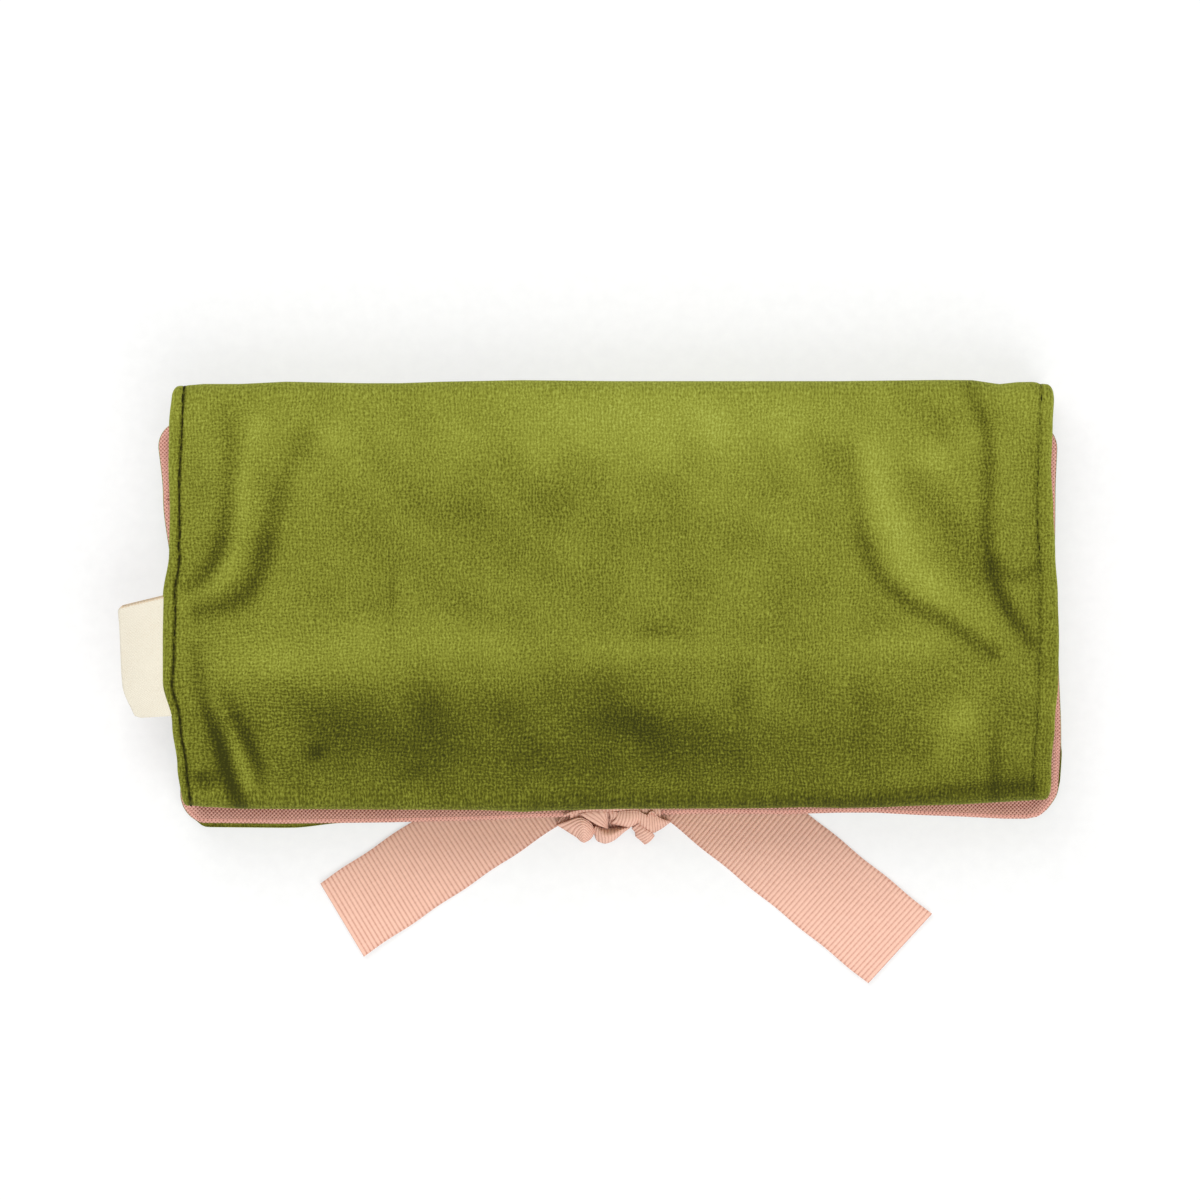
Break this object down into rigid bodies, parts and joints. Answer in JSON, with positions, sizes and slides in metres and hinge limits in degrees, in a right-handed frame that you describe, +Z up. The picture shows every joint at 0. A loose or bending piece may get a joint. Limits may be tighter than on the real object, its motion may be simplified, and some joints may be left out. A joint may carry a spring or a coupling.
{
  "type": "jewelry roll",
  "caption": "Padded velvet jewelry roll folded in three, with zipped pockets, a slip pocket and a snap-held ring bar inside, tied with a grosgrain ribbon bow.",
  "frame": {"origin": "middle of the front flap's face that the closed roll rests on", "axes": "+X along the roll, +Y from the tied free edge towards the top fold, +Z up from the table"},
  "size_m": [0.2488, 0.1598, 0.0283],
  "materials": {
    "velvet": "olive velvet, soft pile",
    "lining": "dusty pink ribbed lining cloth",
    "wadding": "white wadding",
    "ribbon": "peach grosgrain ribbon",
    "label_cloth": "cream woven label cloth",
    "zip_nylon": "dyed nylon zip",
    "brass": "polished brass"
  },
  "bodies": {
    "front_flap": {"front_velvet": "velvet", "front_wadding": "wadding", "front_lining": "lining", "front_slip_pocket": "lining", "front_pocket_binding": "ribbon", "ribbon_anchor": "ribbon", "bow_knot": "ribbon", "bow_loop_left": "ribbon", "bow_loop_right": "ribbon", "ribbon_tail_left": "ribbon", "ribbon_tail_right": "ribbon"},
    "top_spine": {"top_fold_velvet": "velvet", "top_fold_lining": "lining"},
    "back_panel": {"back_velvet": "velvet", "back_wadding": "wadding", "back_lining": "lining", "side_label": "label_cloth", "back_zip_pocket": "lining", "back_zip_tape_upper": "zip_nylon", "back_zip_tape_lower": "zip_nylon", "back_zip_stop_left": "brass", "back_zip_stop_right": "brass", "ring_bar_anchor": "velvet", "stud_post": "brass"},
    "ring_bar": {"ring_bar": "velvet", "ring_bar_tab": "velvet", "stud_cap": "brass"},
    "back_zip_slider": {"back_zip_slider": "brass", "back_zip_pull": "ribbon"},
    "bottom_spine": {"bottom_fold_velvet": "velvet", "bottom_fold_lining": "lining"},
    "inner_flap": {"inner_velvet": "velvet", "inner_wadding": "wadding", "inner_lining": "lining", "inner_zip_pocket": "lining", "inner_zip_tape_upper": "zip_nylon", "inner_zip_tape_lower": "zip_nylon", "inner_zip_stop_left": "brass", "inner_zip_stop_right": "brass"},
    "inner_zip_slider": {"inner_zip_slider": "brass", "inner_zip_pull": "ribbon"}
  },
  "joints": [
    {"name": "top_fold_lower", "type": "hinge", "parent": "front_flap", "child": "top_spine", "pos_m": [0, 0.05485, 0.003], "axis": [-1, 0, 0], "range_deg": [0, 90]},
    {"name": "top_fold_upper", "type": "hinge", "parent": "top_spine", "child": "back_panel", "pos_m": [0, 0.05485, 0.0253], "axis": [-1, 0, 0], "range_deg": [0, 90]},
    {"name": "bottom_fold_upper", "type": "hinge", "parent": "back_panel", "child": "bottom_spine", "pos_m": [0, -0.05485, 0.0253], "axis": [-1, 0, 0], "range_deg": [0, 90], "deforming": ["front_velvet", "front_wadding", "front_lining", "front_slip_pocket", "front_pocket_binding", "ribbon_anchor", "bow_knot", "bow_loop_left", "bow_loop_right", "ribbon_tail_left", "ribbon_tail_right"]},
    {"name": "bottom_fold_lower", "type": "hinge", "parent": "bottom_spine", "child": "inner_flap", "pos_m": [0, -0.05485, 0.0113], "axis": [-1, 0, 0], "range_deg": [0, 90]},
    {"name": "ring_bar", "type": "hinge", "parent": "back_panel", "child": "ring_bar", "pos_m": [-0.0842, 0.04895, 0.0216], "axis": [0, 1, 0], "range_deg": [0, 75]},
    {"name": "back_zip_slide", "type": "slide", "parent": "back_panel", "child": "back_zip_slider", "axis": [1, 0, 0], "range_m": [0, 0.166]},
    {"name": "inner_zip_slide", "type": "slide", "parent": "inner_flap", "child": "inner_zip_slider", "axis": [1, 0, 0], "range_m": [0, 0.166]}
  ],
  "couplings": [
    {"joint": "top_fold_upper", "follows": "top_fold_lower", "ratio": 1},
    {"joint": "bottom_fold_lower", "follows": "bottom_fold_upper", "ratio": 1}
  ]
}
